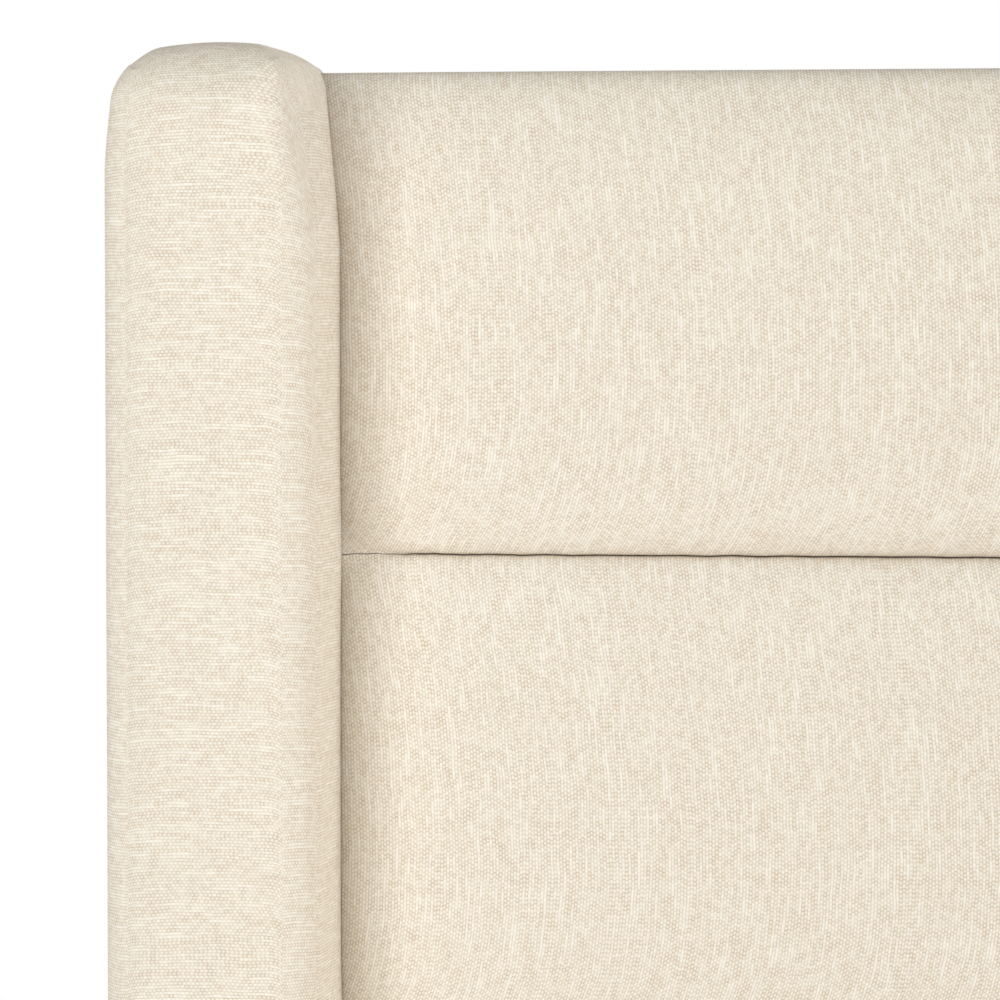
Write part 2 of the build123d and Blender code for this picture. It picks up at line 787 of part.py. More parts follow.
# Plugs in the lower ends of the centre legs, threaded for the screw feet
with BuildPart() as centre_leg_plugs:
    for y in centre_leg_places:
        rod((0, y, plug_height), (0, 0, 1), tube_radius, plug_flange)
        rod((0, y, tube_bottom), (0, 0, 1), tube_radius - tube_wall, plug_depth)
        bore = plug_flange + plug_depth
        rod((0, y, plug_height), (0, 0, 1), stem_radius + running_gap, bore, Mode.SUBTRACT)
centre_leg_plugs.part.label = "centre_leg_plugs"
export_step(centre_leg_plugs.part, "parts/centre_leg_plugs.step")
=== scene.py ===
"""A queen bed: headboard of horizontal padded channels between padded wings, low padded rails, slats.

Metres, +Z up, the back of the headboard at +Y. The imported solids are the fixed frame.
"""
import math

import bmesh
import bpy
import numpy as np
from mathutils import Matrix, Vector


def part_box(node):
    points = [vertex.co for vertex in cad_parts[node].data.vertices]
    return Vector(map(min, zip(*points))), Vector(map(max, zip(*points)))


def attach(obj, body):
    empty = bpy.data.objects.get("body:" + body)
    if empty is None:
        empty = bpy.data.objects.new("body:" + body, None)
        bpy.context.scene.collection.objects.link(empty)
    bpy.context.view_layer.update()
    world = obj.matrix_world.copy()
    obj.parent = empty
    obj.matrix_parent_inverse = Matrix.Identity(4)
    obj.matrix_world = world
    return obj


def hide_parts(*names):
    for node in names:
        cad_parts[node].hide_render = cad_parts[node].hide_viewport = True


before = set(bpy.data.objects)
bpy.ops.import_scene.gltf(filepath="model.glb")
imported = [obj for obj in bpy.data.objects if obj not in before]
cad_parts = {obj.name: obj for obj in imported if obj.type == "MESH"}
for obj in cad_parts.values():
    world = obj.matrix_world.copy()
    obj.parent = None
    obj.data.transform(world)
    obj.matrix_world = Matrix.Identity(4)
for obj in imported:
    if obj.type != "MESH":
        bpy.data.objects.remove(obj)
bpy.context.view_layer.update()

# Headboard frame: two stiles and three cross rails, sawn and planed from pine, glued and screwed.
# Padding and boards hide it, so only its lower ends show from below.


def linear(code):
    """Linear colour of an sRGB hex code."""
    shares = [int(code[i:i + 2], 16) / 255 for i in (0, 2, 4)]
    return [c / 12.92 if c <= 0.04045 else ((c + 0.055) / 1.055) ** 2.4 for c in shares] + [1.0]


def add(tree, kind, sockets=None, **settings):
    """Adds a node: settings are its own fields, sockets its inputs, each a value or a node or output to link."""
    made = tree.nodes.new(kind)
    for name, value in settings.items():
        setattr(made, name, value)
    for name, value in (sockets or {}).items():
        if isinstance(value, bpy.types.Node):
            value = next(out for out in value.outputs if out.enabled)
        if isinstance(value, bpy.types.NodeSocket):
            tree.links.new(value, made.inputs[name])
        else:
            made.inputs[name].default_value = value
    return made


def reckon(tree, operation, *terms, **settings):
    """Adds a node that does one step of arithmetic with these terms."""
    return add(tree, "ShaderNodeMath", dict(enumerate(terms)), operation=operation, **settings)


def blend(tree, share, start, stop):
    """Mixes two colours, each a hex code or another colour's output."""
    ends = [linear(end) if isinstance(end, str) else end for end in (start, stop)]
    return add(tree, "ShaderNodeMix", {0: share, 6: ends[0], 7: ends[1]}, data_type="RGBA").outputs[2]


def ease(tree, **span):
    """Maps a value from one span to another with soft ends."""
    sockets = {name.replace("_", " "): value for name, value in span.items()}
    return add(tree, "ShaderNodeMapRange", sockets, interpolation_type="SMOOTHSTEP")


def finish_named(name):
    """A new material with a node tree, and the shader in it."""
    made = bpy.data.materials.new(name)
    made.use_nodes = True
    return made, made.node_tree, made.node_tree.nodes["Principled BSDF"]


def coat(tree, shader, colour, relief, roughness):
    """Joins a finish's colour, relief and roughness to its shader; an even roughness is a number."""
    tree.links.new(colour, shader.inputs["Base Color"])
    tree.links.new(relief.outputs[0], shader.inputs["Normal"])
    if isinstance(roughness, bpy.types.Node):
        tree.links.new(roughness.outputs[0], shader.inputs["Roughness"])
    else:
        shader.inputs["Roughness"].default_value = roughness


def dress(material, *names):
    """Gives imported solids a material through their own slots."""
    for name in names:
        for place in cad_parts[name].material_slots:
            place.material = material


rings_long = 26  # a ring's figure is this many times as long as it is wide


def timber(name, pale, dark, ring, along, rough, pore=0.12):
    """Planed wood with growth rings that many metres apart, and the grain along x, y or z."""
    made, tree, shader = finish_named(name)
    stretch = [1 / ring] * 3
    stretch["xyz".index(along)] = 1 / (ring * rings_long)
    where = add(tree, "ShaderNodeTexCoord").outputs["Object"]
    board = add(tree, "ShaderNodeVectorMath", {0: where, 1: stretch}, operation="MULTIPLY")
    wander = add(tree, "ShaderNodeTexNoise", {"Vector": board, "Scale": 0.22, "Detail": 3.0, "Roughness": 0.55})
    wave = reckon(tree, "SINE", reckon(tree, "MULTIPLY", wander, 26.0))
    late = ease(tree, Value=wave, From_Min=-0.4, From_Max=1.0)
    fibre = add(tree, "ShaderNodeTexNoise", {"Vector": board, "Scale": 7.0, "Detail": 4.0, "Roughness": 0.7})
    span = {"Value": fibre, "From Min": 0.3, "From Max": 0.7, "To Min": -pore, "To Max": pore}
    streak = add(tree, "ShaderNodeMapRange", span)
    tone = reckon(tree, "MULTIPLY_ADD", late, 0.6, streak, use_clamp=True)
    colour = blend(tree, tone, pale, dark)
    sheen = add(tree, "ShaderNodeMapRange", {"Value": fibre, "To Min": rough - 0.08, "To Max": rough + 0.1})
    relief = add(tree, "ShaderNodeBump", {"Height": fibre, "Strength": 0.25, "Distance": 0.0004})
    coat(tree, shader, colour, relief, sheen)
    shader.inputs["Specular IOR Level"].default_value = 0.35
    return made


# Pine, planed: honey-pale with soft darker growth rings about 4 mm apart and fine fibre streaks
pine = {along: timber("planed_pine_" + along, "E3C79C", "C49B66", 0.004, along, 0.62) for along in "xyz"}
dress(pine["z"], "headboard_left_stile", "headboard_right_stile")
dress(pine["x"], "headboard_top_rail", "headboard_middle_rail", "headboard_bottom_rail")

# Front board and wing cores: birch plywood, sawn, which carries the padding.
# The cores are bolted to the stiles, and their lower edges show the plies from below.
ply = 0.0015


def plywood(name, through):
    """Birch plywood with its plies stacked along x or y."""
    made, tree, shader = finish_named(name)
    where = add(tree, "ShaderNodeTexCoord").outputs["Object"]
    part = add(tree, "ShaderNodeSeparateXYZ", {0: where}).outputs["XYZ".index(through.upper())]
    wave = reckon(tree, "SINE", reckon(tree, "MULTIPLY", part, math.pi / ply))
    band = add(tree, "ShaderNodeMapRange", {"Value": wave, "From Min": -0.3, "From Max": 0.3})
    board = add(tree, "ShaderNodeVectorMath", {0: where, 1: (90.0, 90.0, 11.0)}, operation="MULTIPLY")
    grain = add(tree, "ShaderNodeTexNoise", {"Vector": board, "Scale": 1.0, "Detail": 5.0, "Roughness": 0.65})
    face = blend(tree, grain, "E4CDA6", "CFAF80")
    edge = blend(tree, grain, "B98F60", "9C7347")
    colour = blend(tree, band, face, edge)
    relief = add(tree, "ShaderNodeBump", {"Height": grain, "Strength": 0.3, "Distance": 0.0005})
    coat(tree, shader, colour, relief, 0.7)
    return made


dress(plywood("birch_plywood_board", "y"), "headboard_front_board")
dress(plywood("birch_plywood_core", "x"), "wing_left_core", "wing_right_core")

# Bolts, inserts, studs, hooked plates, hangers and screws: mild steel, stamped or rolled, then zinc plated.
# The plating is pale grey with a faint warm and cool cloud and a satin, slightly uneven gloss.
zinc, tree, shader = finish_named("zinc_plated_steel")
where = add(tree, "ShaderNodeTexCoord").outputs["Object"]
cloud = add(tree, "ShaderNodeTexNoise", {"Vector": where, "Scale": 1 / 0.012, "Detail": 4.0, "Roughness": 0.6})
grit = add(tree, "ShaderNodeTexNoise", {"Vector": where, "Scale": 1 / 0.0012, "Detail": 3.0})
tint = blend(tree, cloud, "B9BBBB", "CFCBC0")
gloss = add(tree, "ShaderNodeMapRange", {"Value": cloud, "To Min": 0.28, "To Max": 0.5})
relief = add(tree, "ShaderNodeBump", {"Height": grit, "Strength": 0.15, "Distance": 0.0002})
coat(tree, shader, tint, relief, gloss)
shader.inputs["Metallic"].default_value = 1.0
dress(zinc, "wing_bolts", "wing_inserts", "leg_studs", "rail_hook_plates", "rail_socket_plates", "plate_screws")
dress(zinc, "slat_screws", "centre_rail_hangers", "leveller_stem_1", "leveller_stem_2")

# Padded channels: four foam bolsters in one cover, sewn through to the front board along level seams.
# Each is crowned between its seams and drawn in at its ends; the first goes on over the top of the frame.


def skin(name, sheets, material, close=False):
    """One mesh from grids of points, each point with its place on the flat cloth, joined where grids meet."""
    points, faces, places = [], [], []
    for grid, cloth in sheets:
        first = len(points)
        rows, columns = grid.shape[:2]
        points.extend(grid.reshape(-1, 3).tolist())
        flat = cloth.reshape(-1, 2)
        for i in range(rows - 1):
            for j in range(columns - 1):
                here = i * columns + j
                ring = (here, here + columns, here + columns + 1, here + 1)
                faces.append([first + corner for corner in ring])
                places.extend(flat[corner] for corner in ring)
    mesh = bpy.data.meshes.new(name)
    mesh.from_pydata(points, [], faces)
    mesh.uv_layers.new(name="cloth").data.foreach_set("uv", np.array(places, float).ravel())
    work = bmesh.new()
    work.from_mesh(mesh)
    bmesh.ops.remove_doubles(work, verts=work.verts, dist=0.00005)
    bmesh.ops.dissolve_degenerate(work, edges=work.edges, dist=0.00001)
    if close:
        bmesh.ops.holes_fill(work, edges=[edge for edge in work.edges if edge.is_boundary], sides=0)
    bmesh.ops.recalc_face_normals(work, faces=work.faces)
    for face in work.faces:
        face.smooth = len(face.verts) < 5
    work.to_mesh(mesh)
    work.free()
    piece = bpy.data.objects.new(name, mesh)
    bpy.context.scene.collection.objects.link(piece)
    mesh.materials.append(material)
    return piece


def hold(piece, fill, *nodes):
    """The piece stands for these solids and stays with the bed's frame."""
    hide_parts(*nodes)
    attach(piece, "bed_frame")


fill_push, fill_cap, fill_frames = 0.15, 0.004, 12


def fill_out(piece, held):
    """Fills a cover by cloth simulation with some points held, and keeps that shape; fill_cap limits the way."""
    rest = np.empty(3 * len(piece.data.vertices))
    piece.data.vertices.foreach_get("co", rest)
    rest = rest.reshape(-1, 3)
    group = piece.vertex_groups.new(name="held")
    group.add(np.flatnonzero(held(rest)).tolist(), 1.0, "REPLACE")
    filling = piece.modifiers.new("filling", "CLOTH")
    filling.settings.vertex_group_mass = "held"
    filling.settings.use_pressure = True
    filling.settings.uniform_pressure_force = fill_push
    filling.settings.effector_weights.gravity = 0.0
    filling.collision_settings.use_collision = False
    filling.point_cache.frame_start, filling.point_cache.frame_end = 1, fill_frames
    for step in range(1, fill_frames + 1):
        bpy.context.scene.frame_set(step)
    filled = piece.evaluated_get(bpy.context.evaluated_depsgraph_get())
    moved = np.empty(rest.size)
    filled.to_mesh().vertices.foreach_get("co", moved)
    filled.to_mesh_clear()
    piece.modifiers.remove(filling)
    piece.vertex_groups.remove(group)
    bpy.context.scene.frame_set(1)
    move = moved.reshape(-1, 3) - rest
    far = np.maximum(np.linalg.norm(move, axis=1, keepdims=True), 1e-9)
    place = rest + move / far * fill_cap * np.tanh(far / fill_cap)
    place[:, 0] = np.clip(place[:, 0], -np.abs(rest[:, 0]), np.abs(rest[:, 0]))
    place[:, 2] = np.clip(place[:, 2], rest[:, 2].min(), rest[:, 2].max())
    piece.data.vertices.foreach_set("co", place.ravel())
    piece.data.update()


def arch(tree, share):
    """1 in the middle of a yarn's own stretch of cloth, 0 at its edges."""
    middle = reckon(tree, "ADD", share, -0.5)
    return reckon(tree, "MULTIPLY_ADD", reckon(tree, "POWER", middle, 2.0), -4.0, 1.0)


# Cream plain weave with slubs, polyester and linen yarns: pebbles of pale yarn 1.35 mm apart and 1.9 mm long,
# staggered, with sand-coloured gaps, longer pale slubs and a few tan dashes. The gaps' darker colour is partly
# the cloth's own tan fibres and partly painted shade in the hollows between pebbles
yarn_pitch, pebble_length, slub_length = 0.00135, 0.0019, 0.019
flat_noise = {"noise_dimensions": "2D"}
cream, tree, shader = finish_named("cream_slub_weave")
cloth = add(tree, "ShaderNodeUVMap", uv_map="cloth")
wander = add(tree, "ShaderNodeTexNoise", {"Vector": cloth, "Scale": 1 / 0.021, "Detail": 2.0}, **flat_noise)
flat = add(tree, "ShaderNodeSeparateXYZ", {0: cloth})
drift = reckon(tree, "MULTIPLY_ADD", wander, 0.0016, flat.outputs[0])
across = reckon(tree, "MULTIPLY", drift, 1 / yarn_pitch)
yarn, side = reckon(tree, "FLOOR", across), reckon(tree, "FRACT", across)
odd = reckon(tree, "FLOORED_MODULO", yarn, 2.0)
uneven = add(tree, "ShaderNodeTexWhiteNoise", {"W": yarn}, noise_dimensions="1D")
stagger = reckon(tree, "MULTIPLY", reckon(tree, "MULTIPLY_ADD", odd, 0.5, uneven), 0.3)
offset = reckon(tree, "MULTIPLY_ADD", odd, 0.4, stagger)
along = reckon(tree, "MULTIPLY_ADD", flat.outputs[1], 1 / pebble_length, offset)
knot, end = reckon(tree, "FLOOR", along), reckon(tree, "FRACT", along)
# Slubs: each yarn has thicker and thinner stretches of its own
run = reckon(tree, "MULTIPLY", flat.outputs[1], 1 / slub_length)
strand = add(tree, "ShaderNodeCombineXYZ", {0: reckon(tree, "MULTIPLY", yarn, 3.717), 1: run})
slub_noise = add(tree, "ShaderNodeTexNoise", {"Vector": strand, "Scale": 1.0, "Detail": 1.0}, **flat_noise)
slub = ease(tree, Value=slub_noise, From_Min=0.54, From_Max=0.69, To_Max=0.6)
thin = ease(tree, Value=slub_noise, From_Min=0.46, From_Max=0.3)
pebble_end = add(tree, "ShaderNodeMix", {0: slub, 2: arch(tree, end), 3: 0.92}, data_type="FLOAT")
plump = reckon(tree, "POWER", reckon(tree, "MULTIPLY", arch(tree, side), pebble_end), 0.7)
# Colour: sand to tan in the gaps, which is partly the cloth's own fibres and partly painted shade in the hollows,
# paler on the slubs, a little darker on worn or thin pebbles
pebble = add(tree, "ShaderNodeCombineXYZ", {0: yarn, 1: knot})
each = add(tree, "ShaderNodeTexWhiteNoise", {"Vector": pebble}, **flat_noise)
patches = {"Vector": cloth, "Scale": 1 / 0.006, "Detail": 3.0, "Roughness": 0.65}
fleck = reckon(tree, "MULTIPLY_ADD", each, 3.0, add(tree, "ShaderNodeTexNoise", patches, **flat_noise))
dash = add(tree, "ShaderNodeMapRange", {"Value": fleck, "From Min": 1.3, "From Max": 3.7, "To Max": 0.75})
worn = reckon(tree, "MULTIPLY_ADD", each, 0.25, reckon(tree, "MULTIPLY", thin, 0.25))
thread = blend(tree, worn, blend(tree, slub, "F9F7F0", "FDFCF7"), "EBE3D3")
# Painted shade: where the yarn is low, between pebbles, the darker gap colour takes over
colour = blend(tree, plump, blend(tree, dash, "E0D4C0", "BA9C78"), thread)
thick = reckon(tree, "MULTIPLY_ADD", slub, 0.3, plump)
relief = add(tree, "ShaderNodeBump", {"Height": thick, "Strength": 0.5, "Distance": 0.0003})
coat(tree, shader, colour, relief, 0.92)
shader.inputs["Specular IOR Level"].default_value = 0.15
shader.inputs["Sheen Weight"].default_value = 0.12
shader.inputs["Sheen Roughness"].default_value = 0.45
shader.inputs["Sheen Tint"].default_value = linear("F3E9D8")

channel_low, channel_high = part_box("channel_pad_2")
board_front = channel_high.y
crown_depth = channel_high.y - channel_low.y
seam_depth, top_depth = 0.035, 0.025
end_zone, end_roll, end_rise = 0.075, 0.012, 0.006
channel_half = channel_high.x
core_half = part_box("channel_pad_1")[1].x - 0.0004
frame_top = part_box("headboard_front_board")[1].z
back_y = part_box("channel_pad_1")[1].y
wing_low, wing_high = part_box("wing_right_cover")
wing_middle = (wing_low.x + wing_high.x) / 2
wing_swell, wing_dent = 0.0084, 0.0055
wing_half = wing_high.x - wing_middle - wing_swell
step_start, step_length = 0.0065, 0.0058
shoulder, shoulder_drop = 0.016, 0.0196
clear, hair = 0.0003, 0.0001


def wing_inside(y, z):
    """How far from the bed's middle a wing's inner side lies; the channels are pressed against it."""
    deep = np.clip((y - wing_low.y) / (back_y - wing_low.y), 0, 1)
    taper = 0.011 * np.clip((z - wing_high.z + 0.09) / 0.09, 0, 1) ** 1.35
    return wing_middle - wing_half - wing_dent * np.sin(math.pi * deep) ** 2 + taper


def wing_step(y):
    """How much of its step a wing's inner side has made: just before the front board it goes back to the core."""
    share = np.clip((y - board_front + step_start) / step_length, 0, 1)
    return share ** 2 * (3 - 2 * share)


ends = end_zone * np.linspace(0, 1, 28)[:-1] ** 1.3 - channel_half
column = np.concatenate([ends, np.linspace(end_zone - channel_half, channel_half - end_zone, 130), -ends[::-1]])
near_end = np.clip((np.abs(column) - channel_half + end_zone) / end_zone, 0, 1) ** 2
turn = np.linspace(0, math.pi, 73)
lower_half = turn < math.pi / 2
for number in range(1, 5):
    low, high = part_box(f"channel_pad_{number}")
    lower, upper = low.z - hair, high.z + (hair if number > 1 else 0)
    half, middle = (upper - lower) / 2, (upper + lower) / 2
    # Sewn edges are tight; the free edges, over the top and at the foot of the last channel, roll off slowly
    tight = np.where(lower_half, 2.4 if number == 4 else 4.0, 2.1 if number == 1 else 4.5)
    lift = middle - half * np.sign(np.cos(turn)) * np.abs(np.cos(turn)) ** (2 / tight)
    edge_depth = np.where(lower_half, seam_depth, top_depth if number == 1 else seam_depth)
    depth = edge_depth + (crown_depth - edge_depth) * np.abs(np.sin(turn)) ** (2 / tight)
    rows = [(board_front - clear, lower)] + list(zip(board_front - depth, lift))
    if number == 1:
        # Over the top of the frame and down to the back board, with a soft edge at the back
        arc = np.linspace(0, math.pi / 2, 7)
        rows += [(y, upper) for y in np.linspace(board_front - top_depth, board_front + 0.002, 18)[1:]]
        rows += [(y, upper) for y in np.linspace(board_front + 0.002, back_y - 0.011, 10)[1:-1]]
        rows += list(zip(back_y - 0.011 + 0.0105 * np.sin(arc), upper + 0.0105 * (np.cos(arc) - 1)))
        rows += [(back_y - 0.0005, frame_top + 0.0004), (board_front - clear, frame_top + 0.0004)]
    else:
        rows.append((board_front - clear, upper))
    rows = np.array(rows + rows[:1])
    # The ends roll back against the wings, where the seams are hardly drawn in
    crowned = np.clip((board_front - rows[:, :1]) / crown_depth, 0, 1) ** 2
    rolled_back = rows[:, :1] + end_roll * near_end[None, :] * crowned
    sewn = np.zeros((len(rows), 1), bool)
    sewn[1:len(turn) + 1, 0] = np.where(lower_half, number < 4, number > 1)
    y = np.where(sewn, np.minimum(rolled_back, board_front - seam_depth - end_rise * near_end[None, :]), rolled_back)
    # The seams wander a little, as sewn ones do
    wander = 0.00012 * np.sin(column / 0.0041) + 0.00012 * np.sin(column / 0.0013 + 1)
    from_seam = np.minimum(np.abs(rows[:, 1:] - lower), np.abs(rows[:, 1:] - upper) + (1 if number == 1 else 0))
    z = rows[:, 1:] + wander[None, :] * np.exp(-(from_seam / 0.005) ** 2)
    # The ends follow the wings' sides, also round their shoulders and over their step at the frame's top
    widen = wing_step(y) * (rows[:, 1:] > frame_top)
    rolled = shoulder * (1 - np.sqrt(1 - np.clip((z - wing_high.z + shoulder_drop) / shoulder, 0, 0.95) ** 2))
    side = wing_inside(y, z)
    side = side + (core_half - side) * widen + rolled * (1 - 0.25 * widen) - hair
    x = column[None, :] + np.sign(column)[None, :] * (side - channel_half) * near_end[None, :]
    grid = np.stack([x, y, z], axis=2)
    fall = np.clip((upper - z) / (upper - lower), 0, 1)
    # The cloth is drawn sideways between seams, so that its upright yarns bow
    bow = (upper - lower) * (0.2 * fall - 0.15 * fall ** 2 - 0.072 * fall ** 9)
    lengths = np.linalg.norm(np.diff(grid, axis=0), axis=2)
    height = np.concatenate([np.zeros((1, len(column))), np.cumsum(lengths, axis=0)])
    height -= height[1 + len(turn) // 2]
    places = np.stack([x - bow + 0.31 * number, height + 0.17 * number], axis=2)
    channel = skin(f"channel_{number}", [(grid, places)], cream, close=True)
    held_y, held_x = board_front - seam_depth - 0.002, channel_half - 0.004
    fill_out(channel, lambda at: (at[:, 1] > held_y) | (np.abs(at[:, 0]) > held_x))
    hold(channel, 0.8, f"channel_pad_{number}")

# Wings: a thick padded sleeve over each wing core, bolted on at the headboard's ends. A band runs up its front
# and back over its arched top, and side panels are sewn to the band, which leaves a soft crease on each side.
crease_out, crease_in = wing_half - 0.006, 0.027
crease_depth, crease_width = 0.0012, 0.0017


def dense_at_ends(start, stop, count, power=0.5):
    """Steps from start to stop that are closer together at both ends."""
    t = np.linspace(-1, 1, count)
    return (start + stop) / 2 + (stop - start) / 2 * ((1 + power) * t - power * t ** 3)


def joined(first, *others):
    """One run of steps from several that each start where the last one stops."""
    return np.concatenate([first] + [other[1:] for other in others])


def run_along(points, axis):
    """Length of cloth along the middle line of a grid, from its start."""
    line = points[points.shape[0] // 2] if axis else points[:, points.shape[1] // 2]
    return np.concatenate([[0], np.cumsum(np.linalg.norm(np.diff(line, axis=0), axis=1))])


for side, sign in (("left", -1), ("right", 1)):
    front_y, rear_y = wing_low.y + 0.0025, back_y - 0.0006
    foot_z, top_z = wing_low.z + 0.0005, wing_high.z
    w_band = joined(dense_at_ends(-wing_half, crease_out - 0.006, 34), np.linspace(crease_out - 0.006, crease_out, 8))
    w_edge = np.linspace(crease_out, wing_half, 11)
    z_low = joined(np.linspace(foot_z, top_z - 0.12, 90), np.linspace(top_z - 0.12, top_z - crease_in, 26))
    z_high = np.linspace(top_z - crease_in, top_z, 14)
    y_near = np.linspace(front_y, front_y + crease_in, 14)
    y_step = np.linspace(board_front - 0.007, board_front - 0.0006, 8)
    y_far = joined(np.linspace(front_y + crease_in, y_step[0], 28), y_step, np.linspace(y_step[-1], rear_y, 14))
    y_all, z_all, w_all = joined(y_near, y_far), joined(z_low, z_high), joined(w_band, w_edge)
    panels = [
        ("band", w_band, [front_y], z_all),
        ("band", w_band, y_all, [top_z]),
        ("band", [-wing_half], y_near, z_low),
        ("band", [-wing_half], y_all, z_high),
        ("inner", [-wing_half], y_far, z_low),
        ("outer", w_edge, [front_y], z_all),
        ("outer", w_edge, y_all, [top_z]),
        ("outer", [wing_half], y_all, z_all),
        ("outer", w_all, [rear_y], z_all),
        ("foot", w_all, y_all, [foot_z]),
    ]
    sheets = []
    for cloth, *lines in panels:
        fw, fy, fz = (part.squeeze() for part in np.meshgrid(*lines, indexing="ij"))
        out, into = np.clip(fw / wing_half, 0, 1) ** 2, np.clip(-fw / wing_half, 0, 1) ** 2
        # Rounded edges: how far each point lies in an edge's rounding, brought from the square corner to an ellipse
        high_up = np.clip((fz - top_z + 0.1) / 0.07, 0, 1)
        round_w = np.where(fw > 0, 0.022, 0.036 - 0.020 * high_up ** 2 * (3 - 2 * high_up))
        round_y, round_z = 0.031 - 0.010 * out - 0.009 * into, 0.036 - 0.014 * out - 0.020 * into
        ew = np.sign(fw) * np.clip(np.abs(fw) - wing_half + round_w, 0, None) / round_w
        ey = -np.clip(front_y + round_y - fy, 0, None) / round_y
        ez = np.clip(fz - top_z + round_z, 0, None) / round_z
        away = np.sqrt(ew ** 2 + ey ** 2 + ez ** 2)
        keep = 1 - np.maximum.reduce([np.abs(ew), np.abs(ey), np.abs(ez)]) / np.maximum(away, 1e-9)
        pw, py, pz = fw - round_w * ew * keep, fy - round_y * ey * keep, fz - round_z * ez * keep
        across = pw / wing_half
        # The band is slightly crowned and leans back at the top, which is arched, and its seams draw in
        near_front = np.clip(1 - (fy - front_y) / 0.05, 0, 1)
        near_top = np.clip((pz - top_z + 0.075) / 0.075, 0, 1) ** 2
        flat = np.clip((top_z - 0.02 - fz) / 0.05, 0, 1)
        draw_out = flat * crease_depth * np.exp(-((fw - crease_out) / (2 * crease_width)) ** 2) * (fy <= front_y)
        from_edge = np.minimum(fy - front_y, top_z - fz)
        draw_in = crease_depth * np.exp(-((from_edge - crease_in) / crease_width) ** 2) * (fw <= -wing_half)
        draw_in = draw_in * np.clip((wing_low.y + 0.056 - fy) / 0.01, 0, 1)
        py = py + near_front * (draw_out - 0.0025 * np.clip(1 - across ** 2, 0, 1) + 0.004 * near_top)
        pz = pz - near_top * 0.005 * (across + 0.155) ** 2
        # The sides swell, and behind the channels the sleeve is only as deep as the wing core
        deep = np.clip((fy - wing_low.y) / (back_y - wing_low.y), 0, 1)
        drawn = 0.0055 * np.clip((pz - top_z + 0.055) / 0.055, 0, 1) ** 1.3
        outside = wing_middle + wing_half + wing_swell * np.sin(math.pi * deep) - drawn
        inside = wing_inside(fy, pz)
        inside = inside + wing_step(fy) * (core_half + 0.0006 - inside)
        px = inside + (outside - inside) * (across + 1) / 2 + draw_in
        points = np.stack([sign * px, py, pz], axis=-1)
        if cloth == "band":
            if len(lines[0]) > 1 and len(lines[2]) > 1:
                run_w, run_z = run_along(points, 0), run_along(points, 1)
            elif len(lines[0]) > 1:
                run_y = run_z[-1] + run_along(points, 1)
            back, down = fy - front_y, top_z - fz
            over = back ** 2 / np.maximum(back ** 2 + down ** 2, 1e-12)
            # The band's level yarns bow, most of all beside the outer crease
            bow = 0.0025 * out + 0.0035 * out ** 4 + 0.0015 * into + 0.002 * into ** 4
            run = np.interp(fz, z_all, run_z) if len(lines[2]) > 1 else np.interp(fy, y_all, run_y)
            if len(lines[0]) == 1:
                run = run * (1 - over) + np.interp(fy, y_all, run_y) * over
            width = np.interp(fw, w_band, run_w) - (back * (1 - over) + down * over)
            places = np.stack([run + bow, width], axis=2)
        elif cloth == "foot":
            places = np.stack([fy, fw], axis=2)
        else:
            wrap = wing_half - fw if cloth == "outer" else 0 * fw
            turned = np.where(fy >= rear_y, wrap, -wrap) * (len(lines[1]) == 1)
            places = np.stack([fz + wrap * (len(lines[2]) == 1), sign + fy + turned], axis=2)
        sheets.append((points, places))
    wing = skin(f"wing_{side}", sheets, cream)
    hold(wing, 0.85, f"wing_{side}_cover")

# Lower front of the headboard: cover cloth over thin wadding, stapled flat to the front board below the channels.
# Its sides are tucked under the wings, and it is cut away where the rails' steel plates go through to the board.
low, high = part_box("headboard_lower_cover")
front_y = low.y + clear
reach = float(wing_inside(low.y, low.z))
reach = reach + (core_half - reach) * float(wing_step(front_y)) + 0.002
plate_low, plate_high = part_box("rail_socket_plates")
plate_in, plate_out = plate_high.x - 0.0245, plate_high.x + 0.0015
plate_bottom, plate_top = plate_low.z - 0.001, plate_high.z + 0.001
cuts_x, cuts_z = [-plate_out, -plate_in, plate_in, plate_out], [plate_bottom, plate_top]
x = np.unique(np.round(np.concatenate([np.linspace(-reach, reach, 90), cuts_x]), 6))
z = np.unique(np.round(np.concatenate([np.linspace(low.z, high.z - 0.0004, 26), cuts_z]), 6))
soft = 0.0022 * np.clip(1 - (high.z - z)[:, None] / 0.008, 0, 1) ** 2 + 0 * x[None, :]
fx, fz = np.meshgrid(x, z)
sheet = np.stack([fx, front_y + soft, fz], axis=2)
places = np.stack([fx + 2.1, fz], axis=2)
spans = [np.searchsorted(x, edge - 1e-7) for edge in (x[0], *cuts_x, x[-1])]
levels = [np.searchsorted(z, edge - 1e-7) for edge in (z[0], *cuts_z, z[-1])]
parts = []
for level in range(3):
    for span in range(5):
        if level == 1 and span in (1, 3):
            continue
        rows, columns = slice(levels[level], levels[level + 1] + 1), slice(spans[span], spans[span + 1] + 1)
        parts.append((sheet[rows, columns], places[rows, columns]))
lower_cover = skin("headboard_lower_front", parts, cream)
thick = lower_cover.modifiers.new("wadding", "SOLIDIFY")
thick.thickness = high.y - low.y - 0.003
thick.offset = 1.0 if lower_cover.data.polygons[0].normal.y > 0 else -1.0
hold(lower_cover, 0.9, "headboard_lower_cover")

